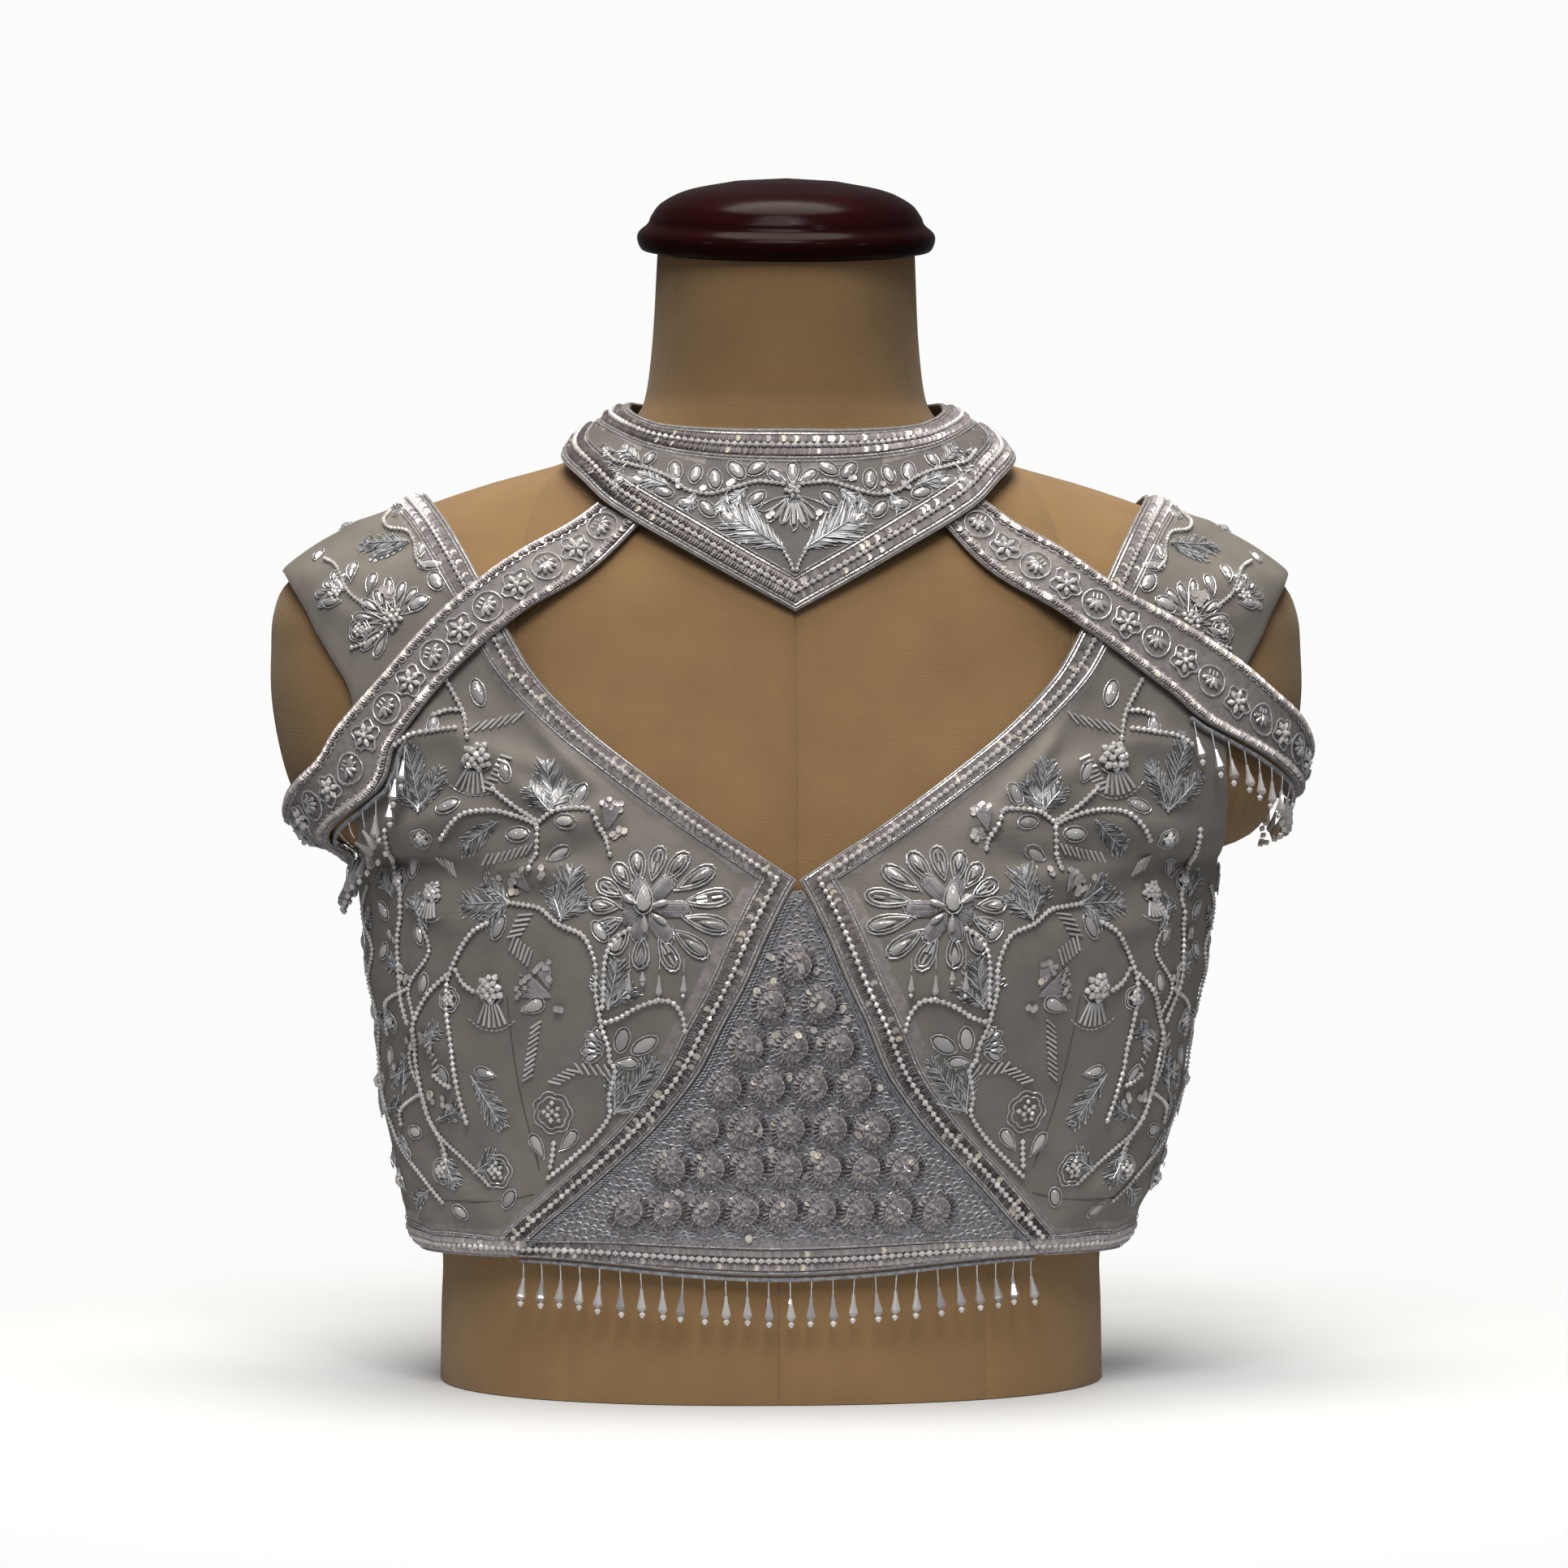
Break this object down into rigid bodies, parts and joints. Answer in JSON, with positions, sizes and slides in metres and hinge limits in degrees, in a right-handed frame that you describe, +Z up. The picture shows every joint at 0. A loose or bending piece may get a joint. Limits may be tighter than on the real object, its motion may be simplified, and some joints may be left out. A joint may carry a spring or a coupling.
{
  "type": "choli blouse on dress form",
  "caption": "Short beaded choli blouse with cap shoulders, a pointed choker collar and fringed cross straps over the arms, worn on a smooth limbless dress form with a turned neck cap",
  "frame": {"origin": "On the flat base of the dress form, under the neck's middle from side to side and near the middle from front to back", "axes": "+Z is up, the blouse's front faces -Y, and the wearer's left side is +X"},
  "size_m": [0.4283, 0.2298, 0.4913],
  "materials": {
    "canvas": "matte woven canvas",
    "lacquer": "gloss lacquer",
    "crepe": "soft sheen",
    "beads": "gloss",
    "metal": "satin"
  },
  "bodies": {
    "root": {"dress_form": "canvas", "neck_cap": "lacquer", "front_left": "crepe", "front_right": "crepe", "centre_panel": "crepe", "back_left": "crepe", "back_right": "crepe", "collar": "crepe", "collar_hook": "metal", "cross_strap_left": "crepe", "cross_strap_right": "crepe", "strap_fringe_left": "beads", "strap_fringe_right": "beads", "hem_fringe": "beads", "back_hook_1": "metal", "back_hook_2": "metal", "back_hook_3": "metal", "back_hook_4": "metal", "back_hook_5": "metal"}
  },
  "joints": []
}
